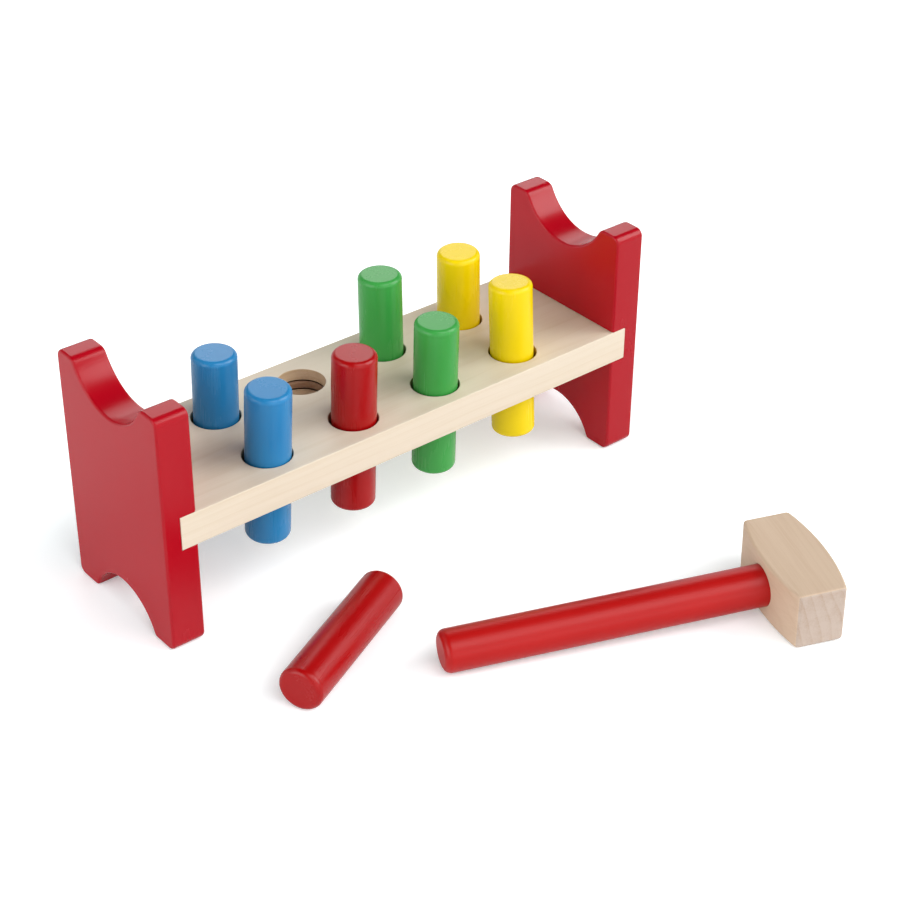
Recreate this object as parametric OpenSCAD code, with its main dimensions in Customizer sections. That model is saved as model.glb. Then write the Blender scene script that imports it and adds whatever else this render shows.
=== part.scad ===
// Peg pounding bench: two painted end panels, a wooden board with eight peg holes, eight pegs
// held by rubber rings inside the board, and a mallet. One peg and the mallet lie in front.

/* [Bench] */
// Length of the bench over both end panels
bench_len = 262; // [235:1:320]
// Height of the end panels
bench_h = 113.5; // [100:0.5:135]
// Depth of the end panels and of the board, front to back
bench_depth = 74.5; // [70:0.5:95]
// Thickness of each end panel
panel_t = 16; // [12:0.5:22]
// Radius of the outer corners of an end panel
corner_r = 3.8; // [2:0.1:6]
// Radius of the scoop in the top of an end panel
scoop_r = 27.3; // [25:0.1:32]
// Depth of the scoop below the top of an end panel
scoop_depth = 16.2; // [12:0.1:18]
// Radius where the scoop turns into the top of an end panel
crest_r = 4.5; // [2:0.1:7]
// Radius of the arch between the two feet of an end panel
arch_r = 24.3; // [23:0.1:30]
// Height of the arch above the floor
arch_h = 15.8; // [12:0.1:18]
// Radius where the arch turns into a foot
foot_r = 2.6; // [1.5:0.1:4]

/* [Board] */
// Thickness of the board
board_t = 16; // [14:0.5:20]
// Depth of the groove in an end panel that houses the end of the board
housing_depth = 8; // [5:0.5:9]
// Glue line around the housed end of the board and around the handle in the mallet head
glue_gap = 0.1; // [0.05:0.01:0.2]
// Diameter of the peg holes
hole_d = 22; // [21.6:0.1:23]
// Distance between neighbouring holes along the bench
hole_pitch = 45.5; // [40:0.5:50]
// Distance between the front and the rear row of holes
row_gap = 38.5; // [35:0.5:42]
// How far the holes sit in front of the middle of the board
holes_forward = 1; // [0:0.1:2]

/* [Pegs] */
// Diameter of a peg
peg_d = 20; // [19:0.1:20.4]
// Length of a peg
peg_len = 75.8; // [68:0.1:82]
// Rounding of the ends of a peg
peg_round = 2.4; // [1.5:0.1:4]
// Way from the bench front to the middle of the peg that lies loose
loose_peg_out = 46.4; // [40:0.1:70]
// Distance of the loose peg from the middle of the bench, towards the left
loose_peg_left = 77.7; // [40:0.1:95]
// Turn of the loose peg from the length of the bench
loose_peg_turn = 25.6; // [0:0.1:60]

/* [Friction rings] */
// Height of the groove inside a peg hole
groove_h = 5; // [4:0.1:6]
// Depth of the groove behind the wall of the hole
groove_depth = 1.6; // [1.2:0.1:2.2]
// Play of a ring in its groove, above and below
ring_play = 0.3; // [0.1:0.05:0.5]
// Clearance between a ring and its peg
ring_clear = 0.05; // [0.02:0.01:0.09]
// Height of the band of a ring that grips the peg
ring_land = 1.8; // [1:0.1:2.5]

/* [Mallet] */
// Diameter of the handle
handle_d = 18.7; // [16:0.1:21]
// Length of the handle outside the head
handle_out = 142.5; // [120:0.5:165]
// Rounding of the ends of the handle
handle_round = 3.2; // [1:0.1:4]
// Depth of the blind socket in the head
socket_depth = 20; // [14:0.5:23]
// Length of the head between its striking faces
head_len = 58.4; // [50:0.1:70]
// Width of a striking face, along the handle
head_face_w = 21.2; // [18:0.1:26]
// Swell of each long side of the head
head_swell = 3.9; // [2:0.1:6]
// Thickness of the head, as it lies
head_t = 27; // [25:0.1:34]
// Rounding of the corners between the long sides and the striking faces
head_edge_r = 2; // [0.5:0.1:3]
// Distance of the middle of the head's handle side from the middle of the bench, towards the right
mallet_right = 79.9; // [60:0.1:90]
// Way from the bench front to the middle of the head's handle side
mallet_out = 133; // [120:0.1:160]
// Turn of the handle from the length of the bench
mallet_turn = -22.5; // [-35:0.5:0]

/* [Hidden] */
$fn = 96;

red = [0.76, 0.07, 0.09];
blue = [0.13, 0.42, 0.70];
green = [0.20, 0.62, 0.27];
yellow = [0.95, 0.82, 0.06];
pale_wood = [0.90, 0.82, 0.70];
rubber_brown = [0.42, 0.31, 0.23];

// A cut runs past the faces that it opens by this much
overrun = panel_t / 8;

// The board sits at half height, so the bench stands the same way when it is turned over
board_mid = bench_h / 2;
board_top = board_mid + board_t / 2;
board_len = bench_len - 2 * (panel_t - housing_depth);

peg_r = peg_d / 2;
hole_r = hole_d / 2;
groove_r = hole_r + groove_depth;
ring_h = groove_h - 2 * ring_play;
ring_r = groove_r - ring_clear;

// How far a peg may lean before it meets the rim of its hole
slack_lean = atan((hole_r - peg_r) / (board_t / 2));

// Holes: columns from the left, and a front and a rear row
columns = 4;
rear = 1;
front = -1;

// Height of each peg above the board, as a share of its length, and its lean to the right and to
// the rear, as shares of the slack lean. The pegs stand as somebody pushed them in by hand.
blue_rear_shares = [0.415, 0.22, 0];
green_rear_shares = [0.514, -0.06, 0.07];
yellow_rear_shares = [0.479, -0.28, -0.21];
blue_front_shares = [0.450, 0, -0.60];
red_front_shares = [0.430, 0.17, -0.13];
green_front_shares = [0.431, -0.02, -0.26];
yellow_front_shares = [0.462, 0, 0.48];
upright_shares = [0, 0, 0];

// Each long side of the mallet head is an arc between the striking faces
head_arc_r = (pow(head_len / 2, 2) + pow(head_swell, 2)) / (2 * head_swell);
head_w = head_face_w + 2 * head_swell;
handle_r = handle_d / 2;

// Middle of a rounded corner of the head, from the middle of a long side
head_corner_y = head_len / 2 - head_edge_r;
head_corner_x = head_arc_r - sqrt(pow(head_arc_r - head_edge_r, 2) - pow(head_corner_y, 2));
head_corner_turn = asin(head_corner_y / (head_arc_r - head_edge_r));

// The mallet lies on the end of its grip and on the near edge of its head
mallet_tilt = atan((head_t / 2 - handle_r) / handle_out);

// How far the front corner of the head is from the front of the bench
front_corner_x = (head_w - head_corner_x) * cos(mallet_tilt) + head_t / 2 * sin(mallet_tilt);
mallet_front = mallet_out + head_edge_r + head_corner_y * cos(mallet_turn)
    - front_corner_x * sin(mallet_turn);

// The origin is on the floor, in the middle of the ground that bench, loose peg and mallet cover
bench_y = mallet_front / 2;
bench_front = bench_y - bench_depth / 2;

function hole_x(column) = (column - (columns - 1) / 2) * hole_pitch;
function hole_y(row) = bench_y - holes_forward + row * row_gap / 2;
function heading(turn) = [cos(turn), sin(turn)];

// What a rounding takes off a corner: the wedge between two headings outside the circle
module corner_waste(r, from, to) {
    difference() {
        polygon(2 * r * [[0, 0], heading(from), heading(from) + heading(to), heading(to)]);
        circle(r);
    }
}

// Rod along +Z with two rounded ends
module rounded_rod(length, r, end_r) {
    rotate_extrude() difference() {
        square([r, length]);
        translate([r - end_r, end_r]) corner_waste(end_r, -90, 0);
        translate([r - end_r, length - end_r]) corner_waste(end_r, 0, 90);
    }
}

// One side of what is cut off an end panel, seen along the bench, towards the rear
module panel_waste() {
    scoop_reach = scoop_r + crest_r;
    crest_turn = asin((scoop_r - scoop_depth + crest_r) / scoop_reach);
    arch_reach = arch_r + foot_r;
    foot_turn = asin((arch_r - arch_h + foot_r) / arch_reach);
    translate([scoop_reach * cos(crest_turn), bench_h - crest_r])
        corner_waste(crest_r, 90, 180 - crest_turn);
    translate([bench_depth / 2 - corner_r, bench_h - corner_r]) corner_waste(corner_r, 0, 90);
    translate([bench_depth / 2 - corner_r, corner_r]) corner_waste(corner_r, -90, 0);
    translate([arch_reach * cos(foot_turn), foot_r]) corner_waste(foot_r, foot_turn - 180, -90);
}

// Outline of an end panel: horns and scoop above, feet and arch below
module panel_outline() {
    difference() {
        translate([-bench_depth / 2, 0]) square([bench_depth, bench_h]);
        translate([0, bench_h - scoop_depth + scoop_r]) circle(scoop_r);
        translate([0, arch_h - arch_r]) circle(arch_r);
        panel_waste();
        mirror([1, 0]) panel_waste();
    }
}

// End panel, on the left (-1) or the right (1), with a groove for the board in its inner face
module end_panel(side) {
    inner_x = bench_len / 2 - panel_t;
    color(red) difference() {
        translate([side * (inner_x + panel_t / 2) - panel_t / 2, bench_y, 0])
            rotate([90, 0, 90]) linear_extrude(panel_t) panel_outline();
        translate([side * inner_x, bench_y, board_mid])
            cube([2 * housing_depth, bench_depth + 2 * overrun, board_t + 2 * glue_gap], center = true);
    }
}

module left_end_panel() end_panel(-1);
module right_end_panel() end_panel(1);

// Board with eight holes, each with a groove halfway down for its friction ring
module bench_board() {
    color(pale_wood) difference() {
        translate([0, bench_y, board_mid])
            cube([board_len - 2 * glue_gap, bench_depth, board_t], center = true);
        for (column = [0:columns - 1], row = [front, rear]) {
            translate([hole_x(column), hole_y(row), board_mid]) {
                cylinder(r = hole_r, h = board_t + 2 * overrun, center = true);
                cylinder(r = groove_r, h = groove_h, center = true);
            }
        }
    }
}

// Moves what it holds into the middle of a hole, leaning as the peg there leans
module in_hole(column, row, shares) {
    translate([hole_x(column), hole_y(row), board_mid])
        rotate([-shares[2] * slack_lean, shares[1] * slack_lean, 0]) children();
}

module peg_solid() {
    rounded_rod(peg_len, peg_r, peg_round);
}

// Peg in its hole, at the height at which it was left
module standing_peg(column, row, shares) {
    in_hole(column, row, shares)
        translate([0, 0, board_t / 2 + shares[0] * peg_len - peg_len]) peg_solid();
}

module blue_peg_rear() color(blue) standing_peg(0, rear, blue_rear_shares);
module green_peg_rear() color(green) standing_peg(2, rear, green_rear_shares);
module yellow_peg_rear() color(yellow) standing_peg(3, rear, yellow_rear_shares);
module blue_peg_front() color(blue) standing_peg(0, front, blue_front_shares);
module red_peg_front() color(red) standing_peg(1, front, red_front_shares);
module green_peg_front() color(green) standing_peg(2, front, green_front_shares);
module yellow_peg_front() color(yellow) standing_peg(3, front, yellow_front_shares);

// The red peg of the empty hole lies on the floor in front of the bench
module red_peg_loose() {
    color(red) translate([-loose_peg_left, bench_front - loose_peg_out, peg_r])
        rotate([0, 0, loose_peg_turn]) rotate([0, 90, 0])
            translate([0, 0, -peg_len / 2]) peg_solid();
}

// Rubber ring in the groove of a hole. Its bore is in line with the peg that it grips.
module friction_ring(column, row, shares) {
    land_r = peg_r + ring_clear;
    color(rubber_brown) difference() {
        translate([hole_x(column), hole_y(row), board_mid])
            cylinder(r = ring_r, h = ring_h, center = true);
        in_hole(column, row, shares) {
            cylinder(r = land_r, h = 2 * groove_h, center = true);
            for (side = [0, 1]) mirror([0, 0, side]) translate([0, 0, ring_land / 2])
                cylinder(r1 = land_r, r2 = land_r + groove_h, h = groove_h);
        }
    }
}

module friction_ring_rear_1() friction_ring(0, rear, blue_rear_shares);
module friction_ring_rear_2() friction_ring(1, rear, upright_shares);
module friction_ring_rear_3() friction_ring(2, rear, green_rear_shares);
module friction_ring_rear_4() friction_ring(3, rear, yellow_rear_shares);
module friction_ring_front_1() friction_ring(0, front, blue_front_shares);
module friction_ring_front_2() friction_ring(1, front, red_front_shares);
module friction_ring_front_3() friction_ring(2, front, green_front_shares);
module friction_ring_front_4() friction_ring(3, front, yellow_front_shares);

// Puts the mallet on the floor. In its own frame the handle runs along X into the side at zero.
module lying_mallet() {
    translate([mallet_right, bench_front - mallet_out, head_t / 2 * cos(mallet_tilt)])
        rotate([0, 0, mallet_turn]) rotate([0, -mallet_tilt, 0]) children();
}

// Outline of the mallet head as it lies: two straight striking faces and two swelling sides
module head_outline() {
    difference() {
        intersection() {
            translate([0, -head_len / 2]) square([head_w, head_len]);
            translate([head_arc_r, 0]) circle(head_arc_r, $fn = 360);
            translate([head_w - head_arc_r, 0]) circle(head_arc_r, $fn = 360);
        }
        for (end = [0, 1], back = [0, 1])
            translate([back * head_w, 0]) mirror([back, 0]) mirror([0, end])
                translate([head_corner_x, head_corner_y])
                    corner_waste(head_edge_r, 90, 180 - head_corner_turn);
    }
}

module mallet_head() {
    color(pale_wood) lying_mallet() difference() {
        translate([0, 0, -head_t / 2]) linear_extrude(head_t) head_outline();
        translate([-overrun, 0, 0]) rotate([0, 90, 0])
            cylinder(r = handle_r + glue_gap, h = overrun + socket_depth + glue_gap);
    }
}

module mallet_handle() {
    color(red) lying_mallet() translate([-handle_out, 0, 0]) rotate([0, 90, 0])
        rounded_rod(handle_out + socket_depth, handle_r, handle_round);
}

left_end_panel();
right_end_panel();
bench_board();
blue_peg_rear();
green_peg_rear();
yellow_peg_rear();
blue_peg_front();
red_peg_front();
green_peg_front();
yellow_peg_front();
red_peg_loose();
friction_ring_rear_1();
friction_ring_rear_2();
friction_ring_rear_3();
friction_ring_rear_4();
friction_ring_front_1();
friction_ring_front_2();
friction_ring_front_3();
friction_ring_front_4();
mallet_head();
mallet_handle();
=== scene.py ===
# %% [markdown]
# # Peg pounding bench
# The bench is two painted end panels and a wooden board with eight holes. Eight painted pegs fit
# the holes, and a wooden mallet drives them through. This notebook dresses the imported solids:
# each cell makes one piece or one finish, in metres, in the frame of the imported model.

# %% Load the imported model
from math import asin, atan, cos, pi, radians, sin

import bmesh
import bpy
from mathutils import Matrix, Vector


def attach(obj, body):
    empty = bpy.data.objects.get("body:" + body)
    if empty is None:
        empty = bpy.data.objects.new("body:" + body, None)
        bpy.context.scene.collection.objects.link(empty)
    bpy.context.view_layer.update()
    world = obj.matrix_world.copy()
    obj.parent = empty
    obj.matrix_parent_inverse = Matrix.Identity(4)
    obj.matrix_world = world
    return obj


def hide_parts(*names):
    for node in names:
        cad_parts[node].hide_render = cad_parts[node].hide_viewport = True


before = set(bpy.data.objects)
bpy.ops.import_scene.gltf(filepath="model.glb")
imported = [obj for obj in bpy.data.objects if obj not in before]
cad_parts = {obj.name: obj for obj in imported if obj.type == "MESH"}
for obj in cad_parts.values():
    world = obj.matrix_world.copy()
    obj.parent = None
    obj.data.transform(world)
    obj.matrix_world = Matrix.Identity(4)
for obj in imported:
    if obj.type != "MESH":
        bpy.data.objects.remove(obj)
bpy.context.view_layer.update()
mm = 0.001

# %% [markdown]
# ## Camera
# The camera stands where the photograph was taken. Its place came from fitting the edges of the
# bench to the picture, so the render and the photograph can be laid over each other. Turning a
# camera by its heading, its height and its roll is easier to follow than one list of angles.

# %% Camera
bench_y = 84.6465 * mm
camera_place = Vector((-472.87, -628.17, 541.20)) * mm + Vector((0, bench_y, 0))
camera_heading, camera_height, camera_roll = radians(-39.695), radians(33.123), radians(0.458)

lens = bpy.data.cameras.new("photograph")
lens.sensor_width = 36
lens.lens = 2062.9 / 900 * lens.sensor_width
lens.clip_start = 0.01
camera = bpy.data.objects.new("photograph", lens)
bpy.context.scene.collection.objects.link(camera)
camera.matrix_world = (
    Matrix.Translation(camera_place)
    @ Matrix.Rotation(camera_heading, 4, "Z")
    @ Matrix.Rotation(pi / 2 - camera_height, 4, "X")
    @ Matrix.Rotation(camera_roll, 4, "Z")
)
bpy.context.scene.camera = camera
bpy.context.scene.view_settings.view_transform = "Standard"
print("lens", round(lens.lens, 2), "mm")

# %% [markdown]
# ## Floor and light
# The toy lies on a white sheet in a white studio. Six far soft lamps light it: a bright one on
# the right, one high in front, a broad one on the left, and weaker ones behind and in front.
# The sheet also glows a little, but only for the camera. So it comes out white without more
# light on the toy, and it keeps the shadows. Its glow is dimmed close under the toy, which paints
# a shade there, standing for a real sheet that sees less of the room: that is measured with an
# occlusion node that looks up, forward and a little to the left. The walls of the studio are
# white and its ceiling is dark, which gives the gloss paint something bright and something dark
# to mirror.

# %% Floor
def new_material(name):
    """A material without any nodes, and its node tree."""
    material = bpy.data.materials.new(name)
    material.use_nodes = True
    material.node_tree.nodes.clear()
    return material, material.node_tree


def add_node(tree, kind, name="", **settings):
    node = tree.nodes.new(kind)
    node.label = name
    for key, value in settings.items():
        setattr(node, key, value)
    return node


def maths(tree, operation, first, second=None, third=None, name=""):
    """A Math node between sockets and numbers. Gives its output socket."""
    node = add_node(tree, "ShaderNodeMath", name, operation=operation)
    for slot, value in enumerate((first, second, third)):
        if isinstance(value, bpy.types.NodeSocket):
            tree.links.new(value, node.inputs[slot])
        elif value is not None:
            node.inputs[slot].default_value = value
    return node.outputs[0]


floor_mesh = bmesh.new()
bmesh.ops.create_circle(floor_mesh, cap_ends=True, radius=4, segments=64)
floor_data = bpy.data.meshes.new("floor")
floor_mesh.to_mesh(floor_data)
floor_mesh.free()
floor = bpy.data.objects.new("floor", floor_data)
bpy.context.scene.collection.objects.link(floor)

floor_white, tree = new_material("floor_white")
sheet_colour, camera_lift, gloss_lift = 0.85, 0.55, 0.06
painted_shade_reach, painted_shade_direction = 75 * mm, (-0.35, -0.70, 0.62)
light_path = add_node(tree, "ShaderNodeLightPath")
mirrored_ray = maths(tree, "MAXIMUM", light_path.outputs["Is Glossy Ray"], light_path.outputs["Is Transmission Ray"])
outwards = add_node(tree, "ShaderNodeCombineXYZ", "up, forward and left")
for slot, share in enumerate(painted_shade_direction):
    outwards.inputs[slot].default_value = share
# Painted shade: the sheet's glow for the camera is dimmed where the occlusion node finds the toy close by.
under_toy_painted_shade = add_node(tree, "ShaderNodeAmbientOcclusion", "close under the toy", samples=2)
under_toy_painted_shade.inputs["Distance"].default_value = painted_shade_reach
tree.links.new(outwards.outputs[0], under_toy_painted_shade.inputs["Normal"])
glow_with_painted_shade = maths(tree, "MULTIPLY", under_toy_painted_shade.outputs["AO"], camera_lift)
for_camera = maths(tree, "MULTIPLY", light_path.outputs["Is Camera Ray"], glow_with_painted_shade)
sheet = add_node(tree, "ShaderNodeBsdfDiffuse")
sheet.inputs["Color"].default_value = (sheet_colour,) * 3 + (1,)
lift = add_node(tree, "ShaderNodeEmission", "lift to white")
lift.inputs["Color"].default_value = (0.89, 0.98, 1, 1)
tree.links.new(maths(tree, "MULTIPLY_ADD", mirrored_ray, gloss_lift, for_camera), lift.inputs["Strength"])
both = add_node(tree, "ShaderNodeAddShader")
out = add_node(tree, "ShaderNodeOutputMaterial")
tree.links.new(sheet.outputs["BSDF"], both.inputs[0])
tree.links.new(lift.outputs["Emission"], both.inputs[1])
tree.links.new(both.outputs["Shader"], out.inputs["Surface"])
floor_data.materials.append(floor_white)
print("floor", len(floor_data.polygons), "face")

# %% World
wall_light, ceiling_light = 1.0, 0.03
world = bpy.data.worlds.new("white_studio")
bpy.context.scene.world = world
world.use_nodes = True
tree = world.node_tree
tree.nodes.clear()
direction = add_node(tree, "ShaderNodeTexCoord").outputs["Generated"]
upward = add_node(tree, "ShaderNodeSeparateXYZ", "how far up")
tree.links.new(direction, upward.inputs[0])
studio = add_node(tree, "ShaderNodeMapRange", "walls to ceiling", interpolation_type="SMOOTHSTEP")
studio.inputs["From Min"].default_value = sin(radians(8))
studio.inputs["From Max"].default_value = sin(radians(26))
studio.inputs["To Min"].default_value = wall_light
studio.inputs["To Max"].default_value = ceiling_light
sky = add_node(tree, "ShaderNodeBackground")
out = add_node(tree, "ShaderNodeOutputWorld")
tree.links.new(upward.outputs["Z"], studio.inputs["Value"])
tree.links.new(studio.outputs["Result"], sky.inputs["Strength"])
tree.links.new(sky.outputs[0], out.inputs["Surface"])
sky.inputs["Color"].default_value = (1, 1, 1, 1)
print("walls", wall_light, "ceiling", ceiling_light)

# %% Lamps
def soft_lamp(name, heading, height, spread, light):
    """A far soft lamp: where it stands, how wide it looks from the toy, and the light it gives."""
    lamp = bpy.data.lights.new(name, "SUN")
    lamp.angle = radians(spread)
    lamp.energy = light * pi
    holder = bpy.data.objects.new(name, lamp)
    bpy.context.scene.collection.objects.link(holder)
    flat, up = cos(radians(height)), sin(radians(height))
    towards = Vector((cos(radians(heading)) * flat, sin(radians(heading)) * flat, up))
    holder.rotation_euler = (-towards).to_track_quat("-Z", "Y").to_euler()
    print(name, "heading", heading, "height", height)
    return holder


soft_lamp("lamp_right", 322, 34, 40, 0.64)
soft_lamp("lamp_left", 181, 19, 46, 0.46)
soft_lamp("lamp_behind", 56, 33, 32, 0.18)
soft_lamp("lamp_behind_left", 138, 36, 34, 0.09)
soft_lamp("lamp_front", 262, 24, 50, 0.20)
soft_lamp("lamp_above", 272, 56, 34, 0.28)

# %% [markdown]
# ## Wood and paint as shared effects
# Bare wood shows growth rings and fine fibres. Both run along the plank, so they are drawn as
# long thin noise in three dimensions: a face along the grain shows lines and a face across it
# shows arcs and pores, as in a real plank. Each piece carries its own `wood_place`, the place of
# every point in the plank that it was cut from, with the grain along the third number.

# %% Group: solid wood
def new_group(name, inputs, outputs):
    """A shader node group with named inputs (name, kind, value) and outputs (name, kind)."""
    group = bpy.data.node_groups.new(name, "ShaderNodeTree")
    for title, kind, value in inputs:
        socket = group.interface.new_socket(title, in_out="INPUT", socket_type="NodeSocket" + kind)
        if value is not None:
            socket.default_value = value
    for title, kind in outputs:
        group.interface.new_socket(title, in_out="OUTPUT", socket_type="NodeSocket" + kind)
    return group, add_node(group, "NodeGroupInput"), add_node(group, "NodeGroupOutput")


def stretched(tree, place, scale, name=""):
    """The place, squeezed so that a pattern on it becomes long along the grain."""
    node = add_node(tree, "ShaderNodeVectorMath", name, operation="MULTIPLY")
    tree.links.new(place, node.inputs[0])
    node.inputs[1].default_value = scale
    return node.outputs["Vector"]


def noise(tree, place, scale, detail=2.0, roughness=0.5, name=""):
    """A Noise node at a scale per metre. Gives its value, about 0.5 in the middle."""
    node = add_node(tree, "ShaderNodeTexNoise", name)
    tree.links.new(place, node.inputs["Vector"])
    node.inputs["Scale"].default_value = scale
    node.inputs["Detail"].default_value = detail
    node.inputs["Roughness"].default_value = roughness
    return node.outputs["Fac"]


wood_group, given, made = new_group(
    "solid_wood",
    [("Place", "Vector", None), ("Pith", "Vector", (0.02, -0.09, 0)), ("Ring width", "Float", 0.0032),
     ("Rings", "Float", 0.5), ("Fibres", "Float", 0.4), ("Clouds", "Float", 0.4),
     ("Early wood", "Color", (0.8, 0.65, 0.45, 1)), ("Late wood", "Color", (0.6, 0.42, 0.25, 1))],
    [("Color", "Color"), ("Height", "Float"), ("Shade", "Float")],
)
place = given.outputs["Place"]
waviness = add_node(wood_group, "ShaderNodeTexNoise", "wandering of the rings")
wood_group.links.new(stretched(wood_group, place, (1, 1, 0.22)), waviness.inputs["Vector"])
waviness.inputs["Scale"].default_value = 28
waviness.inputs["Detail"].default_value = 2
shift = add_node(wood_group, "ShaderNodeVectorMath", "push the rings about", operation="MULTIPLY_ADD")
wood_group.links.new(waviness.outputs["Color"], shift.inputs[0])
shift.inputs[1].default_value = (0.009, 0.009, 0)
wood_group.links.new(place, shift.inputs[2])
from_pith = add_node(wood_group, "ShaderNodeVectorMath", "from the pith", operation="SUBTRACT")
wood_group.links.new(shift.outputs["Vector"], from_pith.inputs[0])
wood_group.links.new(given.outputs["Pith"], from_pith.inputs[1])
flat = stretched(wood_group, from_pith.outputs["Vector"], (1, 1, 0.004))
radius = add_node(wood_group, "ShaderNodeVectorMath", "distance from the pith", operation="LENGTH")
wood_group.links.new(flat, radius.inputs[0])
ring_count = maths(wood_group, "DIVIDE", radius.outputs["Value"], given.outputs["Ring width"])
ring_part = maths(wood_group, "FRACT", ring_count, name="place in the ring")
late = maths(wood_group, "POWER", ring_part, 3.0, name="late wood at the ring's end")
soft_end = maths(wood_group, "SMOOTH_MIN", late, maths(wood_group, "MULTIPLY", maths(wood_group, "SUBTRACT", 1.0, ring_part), 7.0), 0.2)
fibre = noise(wood_group, stretched(wood_group, place, (1, 1, 0.03)), 1500, 3.0, 0.6, "fibres")
streak = noise(wood_group, stretched(wood_group, place, (1, 1, 0.02)), 260, 2.0, 0.5, "streaks")
cloud = noise(wood_group, stretched(wood_group, place, (1, 1, 0.4)), 22, 2.0, 0.5, "clouds")
ring_shade = maths(wood_group, "MULTIPLY", soft_end, given.outputs["Rings"])
fibre_shade = maths(wood_group, "MULTIPLY", maths(wood_group, "ADD", maths(wood_group, "SUBTRACT", fibre, 0.5), maths(wood_group, "SUBTRACT", streak, 0.5)), given.outputs["Fibres"])
cloud_shade = maths(wood_group, "MULTIPLY", maths(wood_group, "SUBTRACT", cloud, 0.4), given.outputs["Clouds"])
shade = maths(wood_group, "ADD", maths(wood_group, "ADD", ring_shade, fibre_shade), cloud_shade)
clamped = add_node(wood_group, "ShaderNodeClamp")
wood_group.links.new(shade, clamped.inputs["Value"])
grain_mix = add_node(wood_group, "ShaderNodeMix", "early to late wood", data_type="RGBA")
wood_group.links.new(clamped.outputs[0], grain_mix.inputs["Factor"])
wood_group.links.new(given.outputs["Early wood"], grain_mix.inputs["A"])
wood_group.links.new(given.outputs["Late wood"], grain_mix.inputs["B"])
wood_group.links.new(grain_mix.outputs["Result"], made.inputs["Color"])
wood_group.links.new(maths(wood_group, "SUBTRACT", fibre, ring_shade), made.inputs["Height"])
wood_group.links.new(clamped.outputs[0], made.inputs["Shade"])
print("solid wood", len(wood_group.nodes), "nodes")

# %% Group: paint over wood
paint_group, given, made = new_group(
    "paint_over_wood",
    [("Place", "Vector", None), ("Grain", "Float", 0.5), ("Runs", "Float", 0.5), ("Gloss", "Float", 0.2),
     ("Thick paint", "Color", (0.5, 0.01, 0.02, 1)), ("Thin paint", "Color", (0.6, 0.03, 0.03, 1))],
    [("Color", "Color"), ("Height", "Float"), ("Roughness", "Float")],
)
place = given.outputs["Place"]
pores = noise(paint_group, stretched(paint_group, place, (1, 1, 0.035)), 900, 3.0, 0.6, "filled pores")
orange_peel = noise(paint_group, place, 240, 1.0, 0.4, "orange peel")
runs = noise(paint_group, stretched(paint_group, place, (1, 1, 0.5)), 60, 2.0, 0.5, "thick and thin")
grain = maths(paint_group, "MULTIPLY", pores, given.outputs["Grain"])
wave = maths(paint_group, "MULTIPLY", orange_peel, given.outputs["Runs"])
height = maths(paint_group, "ADD", grain, wave)
thin = maths(paint_group, "MULTIPLY_ADD", pores, given.outputs["Grain"], maths(paint_group, "MULTIPLY", runs, 0.5))
paint_mix = add_node(paint_group, "ShaderNodeMix", "thick to thin paint", data_type="RGBA")
paint_group.links.new(thin, paint_mix.inputs["Factor"])
paint_group.links.new(given.outputs["Thick paint"], paint_mix.inputs["A"])
paint_group.links.new(given.outputs["Thin paint"], paint_mix.inputs["B"])
paint_group.links.new(paint_mix.outputs["Result"], made.inputs["Color"])
paint_group.links.new(height, made.inputs["Height"])
gloss = add_node(paint_group, "ShaderNodeMapRange", "gloss")
paint_group.links.new(thin, gloss.inputs["Value"])
paint_group.links.new(given.outputs["Gloss"], gloss.inputs["To Min"])
paint_group.links.new(maths(paint_group, "ADD", given.outputs["Gloss"], 0.2), gloss.inputs["To Max"])
paint_group.links.new(gloss.outputs["Result"], made.inputs["Roughness"])
print("paint over wood", len(paint_group.nodes), "nodes")

# %% [markdown]
# ## Finishes
# A gloss paint is a coloured film. It fills the pores of the wood, so a faint grain stays in its
# surface, and where it is thinner it is paler and less glossy. The handle is dipped less deeply
# than the pegs, so it gets more grain and less gloss. Bare wood is only sanded: it is rough, and
# its colour comes from the wood group. Wood is greyer where it is sawn across its grain, so the
# mallet's striking faces have a finish of their own.

# %% Helpers for the finishes
def wood_place(tree):
    """The piece's own place in its plank."""
    return add_node(tree, "ShaderNodeAttribute", "wood place", attribute_name="wood_place").outputs["Vector"]


def srgb(red, green, blue):
    """A colour as a picture editor gives it, 0 to 255, made linear."""
    return tuple((c / 255 / 12.92) if c < 11 else ((c / 255 + 0.055) / 1.055) ** 2.4 for c in (red, green, blue)) + (1,)


def surface(tree, height, bump_mm, strength=1.0):
    """A Principled surface whose bump comes from a height in millimetres."""
    bump = add_node(tree, "ShaderNodeBump")
    bump.inputs["Distance"].default_value = bump_mm * mm
    bump.inputs["Strength"].default_value = strength
    tree.links.new(height, bump.inputs["Height"])
    shader = add_node(tree, "ShaderNodeBsdfPrincipled")
    tree.links.new(bump.outputs["Normal"], shader.inputs["Normal"])
    out = add_node(tree, "ShaderNodeOutputMaterial")
    tree.links.new(shader.outputs["BSDF"], out.inputs["Surface"])
    return shader


def painted(name, thick, thin, grain=0.35, runs=0.5, roughness=0.2, gloss_index=1.4):
    """A gloss paint, deeper where it is thick and paler where it is thin."""
    material, tree = new_material(name)
    paint = add_node(tree, "ShaderNodeGroup", "paint over wood", node_tree=paint_group)
    paint.inputs["Grain"].default_value = grain
    paint.inputs["Runs"].default_value = runs
    paint.inputs["Gloss"].default_value = roughness
    paint.inputs["Thick paint"].default_value = srgb(*thick)
    paint.inputs["Thin paint"].default_value = srgb(*thin)
    tree.links.new(wood_place(tree), paint.inputs["Place"])
    shader = surface(tree, paint.outputs["Height"], 0.02)
    shader.inputs["IOR"].default_value = gloss_index
    tree.links.new(paint.outputs["Color"], shader.inputs["Base Color"])
    tree.links.new(paint.outputs["Roughness"], shader.inputs["Roughness"])
    print(name, "thick", thick, "thin", thin)
    return material


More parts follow.
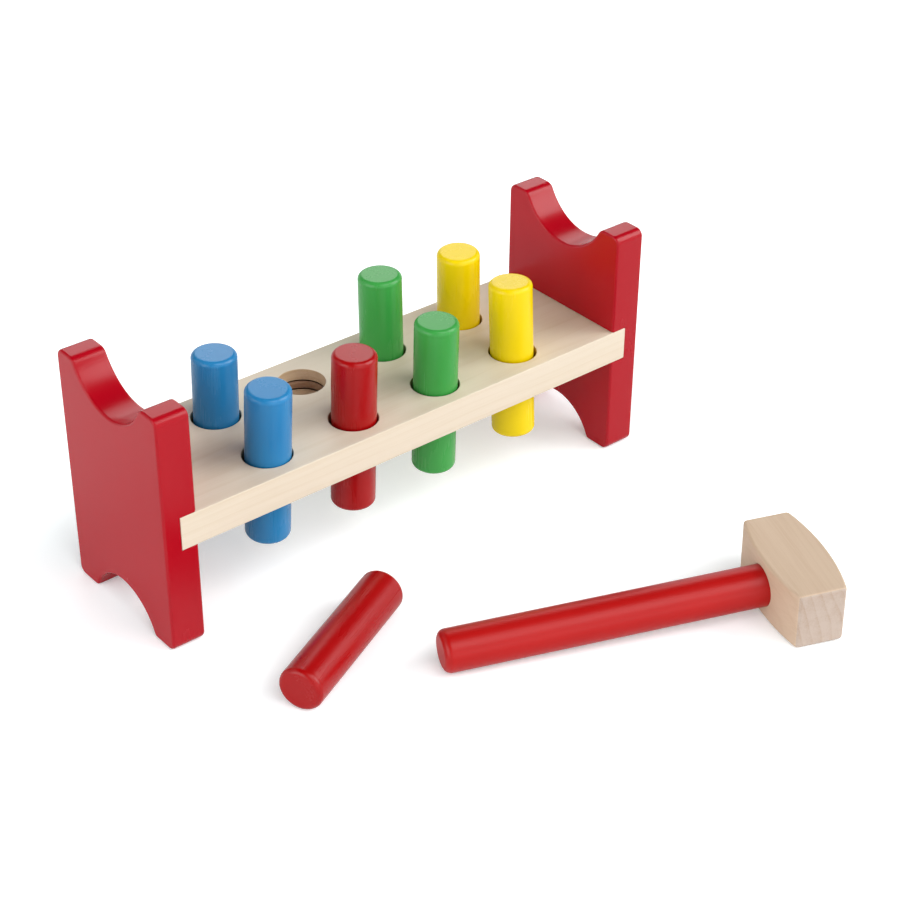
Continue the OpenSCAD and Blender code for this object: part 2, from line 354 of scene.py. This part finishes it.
def bare_wood(name, early, late, pith, ring_width, rings, fibres, clouds):
    """Sanded wood without a finish."""
    material, tree = new_material(name)
    wood = add_node(tree, "ShaderNodeGroup", "solid wood", node_tree=wood_group)
    wood.inputs["Pith"].default_value = pith
    wood.inputs["Ring width"].default_value = ring_width
    wood.inputs["Rings"].default_value = rings
    wood.inputs["Fibres"].default_value = fibres
    wood.inputs["Clouds"].default_value = clouds
    wood.inputs["Early wood"].default_value = srgb(*early)
    wood.inputs["Late wood"].default_value = srgb(*late)
    tree.links.new(wood_place(tree), wood.inputs["Place"])
    shader = surface(tree, wood.outputs["Height"], 0.03)
    rough = add_node(tree, "ShaderNodeMapRange", "sanded")
    rough.inputs["To Min"].default_value = 0.55
    rough.inputs["To Max"].default_value = 0.72
    tree.links.new(wood.outputs["Shade"], rough.inputs["Value"])
    tree.links.new(rough.outputs["Result"], shader.inputs["Roughness"])
    tree.links.new(wood.outputs["Color"], shader.inputs["Base Color"])
    print(name, "early", early, "late", late)
    return material


# %% Paints and woods
panel_red = painted("panel_red", (166, 2, 22), (174, 5, 26), grain=0.04, runs=0.3, gloss_index=1.35)
peg_red = painted("peg_red", (158, 2, 6), (170, 8, 10), grain=0.16, gloss_index=1.38)
peg_blue = painted("peg_blue", (28, 116, 174), (50, 142, 194), grain=0.16)
peg_green = painted("peg_green", (50, 147, 62), (74, 168, 80), grain=0.16)
peg_yellow = painted("peg_yellow", (233, 203, 0), (239, 211, 0), grain=0.16, gloss_index=1.36)
handle_red = painted("handle_red", (167, 4, 4), (187, 15, 12), grain=0.3, roughness=0.28, gloss_index=1.38)
board_wood = bare_wood("board_wood", (222, 209, 189), (206, 187, 158), (0.03, -0.11, 0), 0.0036, 0.30, 0.5, 0.35)
# The hole walls get a darker, warmer wood than the board: partly the real look of drilled grain, partly painted shade
# inside the holes.
drilled_wood_and_shade = bare_wood("drilled_wood_and_shade", (204, 176, 142), (176, 142, 106), (0.03, -0.11, 0), 0.0036, 0.4, 0.9, 0.4)
head_wood = bare_wood("head_wood", (206, 182, 157), (182, 150, 121), (0.0, -0.065, 0), 0.0036, 0.14, 0.6, 0.5)
head_end = bare_wood("head_end", (192, 175, 162), (167, 137, 113), (0.0, -0.065, 0), 0.0046, 0.42, 0.7, 0.8)

# %% Rubber
ring_rubber, tree = new_material("ring_rubber")
spot = add_node(tree, "ShaderNodeTexCoord").outputs["Object"]
dust = noise(tree, spot, 700, 3.0, 0.6, "dust on the rubber")
rubber = surface(tree, dust, 0.03)
dusty = add_node(tree, "ShaderNodeMix", "clean to dusty", data_type="RGBA")
dusty.inputs["A"].default_value = srgb(120, 84, 58)
dusty.inputs["B"].default_value = srgb(164, 126, 94)
tree.links.new(dust, dusty.inputs["Factor"])
tree.links.new(dusty.outputs["Result"], rubber.inputs["Base Color"])
rubber.inputs["Roughness"].default_value = 0.7
for name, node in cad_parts.items():
    if name.startswith("friction_ring"):
        node.material_slots[0].material = ring_rubber
print("rings", sum(name.startswith("friction_ring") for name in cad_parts))

# %% [markdown]
# ## From an outline to a finished piece
# Most pieces are an outline that is given a thickness or spun. An arc is made by spinning one
# point, so the outline keeps the same radii as the real piece. Real edges are never knife-sharp,
# so the sharp ones are eased with a small bevel, which also catches the light.

# %% Helpers for the pieces
def arc(bm, start, centre, turn, steps):
    """Spins a point about a centre and leaves a row of edges. Gives its last point."""
    spun = bmesh.ops.spin(bm, geom=[start], cent=centre + (0,), axis=(0, 0, 1), dvec=(0, 0, 0),
                          angle=turn, steps=steps, use_merge=False, use_duplicate=False)
    return [part for part in spun["geom_last"] if isinstance(part, bmesh.types.BMVert)][0]


def straight(bm, start, x, y):
    """A straight edge from a point to a place in the outline's plane. Gives its end."""
    end = bm.verts.new((x, y, 0))
    bm.edges.new((start, end))
    return end


def mirrored(bm, axis):
    """Adds the mirror image of what is there, and joins the two along the middle."""
    whole = bm.verts[:] + bm.edges[:] + bm.faces[:]
    bmesh.ops.mirror(bm, geom=whole, matrix=Matrix.Identity(4), merge_dist=0.001 * mm, axis=axis)
    bmesh.ops.remove_doubles(bm, verts=bm.verts[:], dist=0.001 * mm)


def thickened(bm, faces, thickness):
    """Extrudes flat faces upwards. Gives the new upper faces."""
    extruded = bmesh.ops.extrude_face_region(bm, geom=faces)["geom"]
    moved = [part for part in extruded if isinstance(part, bmesh.types.BMVert)]
    bmesh.ops.translate(bm, verts=moved, vec=(0, 0, thickness))
    return [part for part in extruded if isinstance(part, bmesh.types.BMFace)]


def cut_across(bm, place, direction):
    """Cuts the mesh with a plane, so that it has edges there."""
    whole = bm.verts[:] + bm.edges[:] + bm.faces[:]
    bmesh.ops.bisect_plane(bm, geom=whole, dist=0.0001 * mm, plane_co=place, plane_no=direction)


def eased(bm, edges, width, segments=3):
    """Rounds edges with a small bevel."""
    bmesh.ops.bevel(bm, geom=edges, offset=width, offset_type="OFFSET", affect="EDGES",
                    segments=segments, profile=0.5, material=-1, clamp_overlap=True)


def sharp_edges(bm, least=25):
    """The edges at which two faces meet at an angle of at least so many degrees."""
    return [edge for edge in bm.edges if edge.is_manifold and edge.calc_face_angle() > radians(least)]


def finished(bm, name, finish, body, place=Matrix.Identity(4), along=2, cut=(0, 0, 0), replaces=()):
    """Notes each point's place in the plank, puts the piece where it goes and makes its object."""
    bmesh.ops.remove_doubles(bm, verts=bm.verts[:], dist=0.0005 * mm)
    bmesh.ops.recalc_face_normals(bm, faces=bm.faces[:])
    layer = bm.verts.layers.float_vector.new("wood_place")
    for vert in bm.verts:
        across, up, length = vert.co[(along + 1) % 3], vert.co[(along + 2) % 3], vert.co[along]
        vert[layer] = Vector((across, up, length)) + Vector(cut)
    bmesh.ops.transform(bm, matrix=place, verts=bm.verts[:])
    for face in bm.faces:
        face.smooth = True
    for edge in sharp_edges(bm, 50):
        edge.smooth = False
    mesh = bpy.data.meshes.new(name)
    bm.to_mesh(mesh)
    bm.free()
    mesh.materials.append(finish)
    piece = bpy.data.objects.new(name, mesh)
    bpy.context.scene.collection.objects.link(piece)
    shading = piece.modifiers.new("flat faces stay flat", "WEIGHTED_NORMAL")
    shading.keep_sharp = True
    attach(piece, body)
    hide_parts(*replaces)
    print(name, "faces", len(mesh.polygons))
    return piece


# %% [markdown]
# ## End panels
# Each panel is sawn from a 16 mm plank: a scoop between two horns above, an arch between two
# feet below, and rounded outer corners. It could be a box with cuts, but an outline made of
# spun arcs keeps the exact radii. The outline is drawn for one half and mirrored. The outer
# half of the thickness is extruded in one go, and then only the parts above and below the
# board, which leaves the groove that houses the board's end.

# %% End panels
bench_len, bench_h, bench_depth = 262 * mm, 113.5 * mm, 74.5 * mm
panel_t, corner_r, crest_r = 16 * mm, 3.8 * mm, 4.5 * mm
scoop_r, scoop_depth, arch_r, arch_h, foot_r = 27.3 * mm, 16.2 * mm, 24.3 * mm, 15.8 * mm, 2.6 * mm
board_t, housing, glue_gap = 16 * mm, 8 * mm, 0.1 * mm
board_mid = bench_h / 2


def panel_half(bm):
    """Half the outline of a panel, from the middle of the scoop round to the middle of the arch."""
    half_depth = bench_depth / 2
    scoop_z = bench_h - scoop_depth + scoop_r
    crest_turn = asin((scoop_z - bench_h + crest_r) / (scoop_r + crest_r))
    crest_y = (scoop_r + crest_r) * cos(crest_turn)
    point = bm.verts.new((0, bench_h - scoop_depth, 0))
    point = arc(bm, point, (0, scoop_z), pi / 2 - crest_turn, 28)
    point = arc(bm, point, (crest_y, bench_h - crest_r), crest_turn - pi / 2, 8)
    point = straight(bm, point, half_depth - corner_r, bench_h)
    point = arc(bm, point, (half_depth - corner_r, bench_h - corner_r), -pi / 2, 8)
    point = straight(bm, point, half_depth, corner_r)
    point = arc(bm, point, (half_depth - corner_r, corner_r), -pi / 2, 8)
    arch_z = arch_h - arch_r
    foot_turn = asin((foot_r - arch_z) / (arch_r + foot_r))
    foot_y = (arch_r + foot_r) * cos(foot_turn)
    point = straight(bm, point, foot_y, 0)
    point = arc(bm, point, (foot_y, foot_r), foot_turn - pi / 2, 8)
    arc(bm, point, (0, arch_z), pi / 2 - foot_turn, 28)


def by_groove(edge):
    """Whether an edge lies in the groove or along its mouth."""
    return all(abs(v.co.y - board_mid) < 0.6 * board_t and v.co.z > housing / 2 for v in edge.verts)


def end_panel(side, name):
    """A panel as it lies on the saw, outer face down, then stood up at its end of the bench."""
    bm = bmesh.new()
    panel_half(bm)
    mirrored(bm, "X")
    bmesh.ops.contextual_create(bm, geom=bm.edges[:])
    for level in (board_mid - board_t / 2 - glue_gap, board_mid + board_t / 2 + glue_gap):
        cut_across(bm, (0, level, 0), (0, 1, 0))
    groove_floor = thickened(bm, bm.faces[:], panel_t - housing)
    beside = [face for face in groove_floor if abs(face.calc_center_bounds().y - board_mid) > board_t / 2]
    thickened(bm, beside, housing)
    bmesh.ops.recalc_face_normals(bm, faces=bm.faces[:])
    rims = [edge for edge in sharp_edges(bm) if not by_groove(edge)]
    eased(bm, rims, 1.2 * mm, 3)
    mouth = [edge for edge in sharp_edges(bm, 60) if by_groove(edge) and edge.is_convex]
    eased(bm, mouth, 0.3 * mm, 2)
    upright = Matrix(((0, 0, 1, 0), (1, 0, 0, 0), (0, 1, 0, 0), (0, 0, 0, 1)))
    place = (Matrix.Translation((0, bench_y, 0)) @ Matrix.Rotation(pi if side > 0 else 0, 4, "Z")
             @ Matrix.Translation((-bench_len / 2, 0, 0)) @ upright)
    return finished(bm, name + "_painted", panel_red, "bench", place, 1, (side * 0.2, 0, 0), [name])


end_panel(-1, "left_end_panel")
end_panel(1, "right_end_panel")

# %% [markdown]
# ## Board
# The board is planed to 16 mm and drilled eight times. Drilling leaves a crisp rim, so the rims
# are eased far less than the painted edges. Halfway down each hole a groove holds the ring. The
# outline and eight circles are filled in one step and extruded. Two level cuts then mark off a
# band of each wall, which is pushed outwards to make the groove.

# %% Board
board_len = bench_len - 2 * (panel_t - housing) - 2 * glue_gap
hole_r, hole_pitch, row_gap, holes_forward = 11 * mm, 45.5 * mm, 38.5 * mm, 1 * mm
groove_h, groove_r = 5 * mm, 12.6 * mm


def hole_middle(column, row):
    """Where a hole is on the board, from the board's middle. Row +1 is the rear one."""
    return Vector(((column - 1.5) * hole_pitch, row * row_gap / 2 - holes_forward, 0))


holes = [hole_middle(column, row) for column in range(4) for row in (-1, 1)]
bm = bmesh.new()
corner = bm.verts.new((-board_len / 2, -bench_depth / 2, 0))
first = corner
for x, y in ((1, -1), (1, 1), (-1, 1)):
    corner = straight(bm, corner, x * board_len / 2, y * bench_depth / 2)
bm.edges.new((corner, first))
for middle in holes:
    bmesh.ops.create_circle(bm, cap_ends=False, radius=hole_r, segments=96, matrix=Matrix.Translation(middle))
bmesh.ops.triangle_fill(bm, use_beauty=True, use_dissolve=False, edges=bm.edges[:])
bmesh.ops.translate(bm, verts=bm.verts[:], vec=(0, 0, -board_t / 2))
thickened(bm, bm.faces[:], board_t)
for level in (-groove_h / 2, groove_h / 2):
    cut_across(bm, (0, 0, level), (0, 0, 1))
for middle in holes:
    band = [face for face in bm.faces if abs(face.calc_center_median().z) < groove_h / 4
            and (face.calc_center_median() - middle).xy.length < hole_r * 1.02]
    pushed = bmesh.ops.extrude_face_region(bm, geom=band)["geom"]
    pushed = [part for part in pushed if isinstance(part, bmesh.types.BMVert)]
    bmesh.ops.scale(bm, vec=(groove_r / hole_r, groove_r / hole_r, 1), space=Matrix.Translation(-middle), verts=pushed)
bmesh.ops.recalc_face_normals(bm, faces=bm.faces[:])
# Faces in the holes and their grooves take the darker wood, which is drilled grain plus painted shade in the holes.
for face in bm.faces:
    face.material_index = int(any((face.calc_center_median() - middle).xy.length < groove_r for middle in holes))
rims = [edge for edge in sharp_edges(bm, 60) if all(abs(abs(v.co.z) - board_t / 2) < 0.01 * mm for v in edge.verts)]
eased(bm, rims, 0.35 * mm, 2)
board = finished(bm, "bench_board_wood", board_wood, "bench",
                 Matrix.Translation((0, bench_y, board_mid)), 0, (0, 0, 0), ["bench_board"])
board.data.materials.append(drilled_wood_and_shade)

# %% [markdown]
# ## Pegs
# A peg is a length of dowel with both rims rounded, so either end can go in first. It could be a
# cylinder with a bevel, but spinning half of its section gives an even mesh and a true rounding.
# The pegs stand at the heights and with the small leans at which a child left them.

# %% Pegs
peg_r, peg_len, peg_round, rim_neck = 10 * mm, 75.8 * mm, 2.4 * mm, 0.05 * mm
slack_lean = atan((hole_r - peg_r) / (board_t / 2))


def rod(length, r, end_r, neck=0.0):
    """A rod along Z with rounded rims, spun from half of its section. Paint that runs off a rim
    leaves a shallow neck below it and a bead after the neck."""
    bm = bmesh.new()
    point = straight(bm, bm.verts.new((0, 0, 0)), r - end_r, 0)
    point = arc(bm, point, (r - end_r, end_r), pi / 2, 8)
    for share, depth in ((0.35, 1), (0.6, 0.9), (0.85, 0), (1.3, 0.1), (2.2, 0)):
        point = straight(bm, point, r - depth * neck, end_r * (1 + share))
    for share, depth in ((2.2, 0), (1.3, 0.1), (0.85, 0), (0.6, 0.9), (0.35, 1)):
        point = straight(bm, point, r - depth * neck, length - end_r * (1 + share))
    point = straight(bm, point, r, length - end_r)
    point = arc(bm, point, (r - end_r, length - end_r), pi / 2, 8)
    straight(bm, point, 0, length)
    bmesh.ops.rotate(bm, cent=(0, 0, 0), matrix=Matrix.Rotation(pi / 2, 3, "X"), verts=bm.verts[:])
    bmesh.ops.spin(bm, geom=bm.edges[:], cent=(0, 0, 0), axis=(0, 0, 1), dvec=(0, 0, 0),
                   angle=2 * pi, steps=96, use_merge=True, use_duplicate=False)
    bmesh.ops.remove_doubles(bm, verts=bm.verts[:], dist=0.001 * mm)
    return bm


standing = {
    "blue_peg_rear": (0, 1, (0.415, 0.22, 0), peg_blue, "blue_paint"),
    "green_peg_rear": (2, 1, (0.514, -0.06, 0.07), peg_green, "green_paint"),
    "yellow_peg_rear": (3, 1, (0.479, -0.28, -0.21), peg_yellow, "yellow_paint"),
    "blue_peg_front": (0, -1, (0.450, 0, -0.60), peg_blue, "blue_paint"),
    "red_peg_front": (1, -1, (0.430, 0.17, -0.13), peg_red, "red_peg_paint"),
    "green_peg_front": (2, -1, (0.431, -0.02, -0.26), peg_green, "green_paint"),
    "yellow_peg_front": (3, -1, (0.462, 0, 0.48), peg_yellow, "yellow_paint"),
}
for number, (name, (column, row, (out, right, back), finish, slot)) in enumerate(standing.items()):
    place = (Matrix.Translation(hole_middle(column, row) + Vector((0, bench_y, board_mid)))
             @ Matrix.Rotation(right * slack_lean, 4, "Y") @ Matrix.Rotation(-back * slack_lean, 4, "X")
             @ Matrix.Translation((0, 0, board_t / 2 + out * peg_len - peg_len)))
    finished(rod(peg_len, peg_r, peg_round, rim_neck), name + "_painted", finish, name, place, 2,
             (0.1 * number, 0.3, 0.2 * number), [name])

# %% Loose peg
bench_front = bench_y - bench_depth / 2
place = (Matrix.Translation((-77.7 * mm, bench_front - 46.4 * mm, peg_r))
         @ Matrix.Rotation(radians(25.6), 4, "Z") @ Matrix.Rotation(pi / 2, 4, "Y")
         @ Matrix.Translation((0, 0, -peg_len / 2)))
finished(rod(peg_len, peg_r, peg_round, rim_neck), "red_peg_loose_painted", peg_red, "red_peg_loose",
         place, 2, (0.9, 0.3, 0), ["red_peg_loose"])

# %% [markdown]
# ## Mallet
# The head is a short block with two flat striking faces across the grain and two long sides
# that swell a little. The handle is a dowel glued into a blind socket. The outline of the head
# is a quarter of it mirrored twice, and the socket is cut with a rod of the handle's size,
# because a round hole in a swelling side is simplest as a cut.

# %% Mallet
handle_r, handle_out, handle_round, socket_depth = 9.35 * mm, 142.5 * mm, 3.2 * mm, 20 * mm
head_len, head_face_w, head_swell, head_t, head_edge_r = 58.4 * mm, 21.2 * mm, 3.9 * mm, 27 * mm, 2 * mm
head_w = head_face_w + 2 * head_swell
side_r = ((head_len / 2) ** 2 + head_swell ** 2) / (2 * head_swell)
tilt = atan((head_t / 2 - handle_r) / handle_out)
mallet_place = (Matrix.Translation((79.9 * mm, bench_front - 133 * mm, head_t / 2 * cos(tilt)))
                @ Matrix.Rotation(radians(-22.5), 4, "Z") @ Matrix.Rotation(-tilt, 4, "Y"))

bm = bmesh.new()
corner_y = head_len / 2 - head_edge_r
corner_turn = asin(corner_y / (side_r - head_edge_r))
corner_x = side_r - (side_r - head_edge_r) * cos(corner_turn)
point = arc(bm, bm.verts.new((-head_w / 2, 0, 0)), (side_r - head_w / 2, 0), -corner_turn, 16)
point = arc(bm, point, (corner_x - head_w / 2, corner_y), corner_turn - pi / 2, 6)
straight(bm, point, 0, head_len / 2)
mirrored(bm, "X")
mirrored(bm, "Y")
bmesh.ops.contextual_create(bm, geom=bm.edges[:])
thickened(bm, bm.faces[:], head_t)
bmesh.ops.translate(bm, verts=bm.verts[:], vec=(head_w / 2, 0, -head_t / 2))
bmesh.ops.recalc_face_normals(bm, faces=bm.faces[:])
eased(bm, sharp_edges(bm, 40), 1.2 * mm, 4)
print("head", round(head_w / mm, 1), "x", round(head_len / mm, 1), "mm")


def socketed(bm, cutter):
    """Cuts one closed shape out of another, and gives the result."""
    shapes = []
    for part in (bm, cutter):
        mesh = bpy.data.meshes.new("cutting")
        bmesh.ops.recalc_face_normals(part, faces=part.faces[:])
        part.to_mesh(mesh)
        part.free()
        shapes.append(bpy.data.objects.new("cutting", mesh))
        bpy.context.scene.collection.objects.link(shapes[-1])
    cut = shapes[0].modifiers.new("socket", "BOOLEAN")
    cut.operation, cut.solver, cut.object = "DIFFERENCE", "EXACT", shapes[1]
    result = bmesh.new()
    result.from_object(shapes[0], bpy.context.evaluated_depsgraph_get())
    for shape in shapes:
        bpy.data.objects.remove(shape)
    return result


lying = Matrix.Rotation(pi / 2, 4, "Y")
cutter = rod(socket_depth + 6 * mm, handle_r + glue_gap, 1 * mm)
bmesh.ops.transform(cutter, matrix=Matrix.Translation((-6 * mm + glue_gap, 0, 0)) @ lying, verts=cutter.verts[:])
bm = socketed(bm, cutter)
bm.normal_update()
for face in bm.faces:
    face.material_index = int(abs(face.normal.y) > 0.7 and abs(face.calc_center_median().y) > 0.4 * head_len)
head = finished(bm, "mallet_head_wood", head_wood, "mallet", mallet_place, 1, (0.02, 0.01, 0.3), ["mallet_head"])
head.data.materials.append(head_end)
finished(rod(handle_out + socket_depth, handle_r, handle_round), "mallet_handle_painted", handle_red, "mallet",
         mallet_place @ Matrix.Translation((-handle_out, 0, 0)) @ lying, 2, (0.5, 0.5, 0),
         ["mallet_handle"])
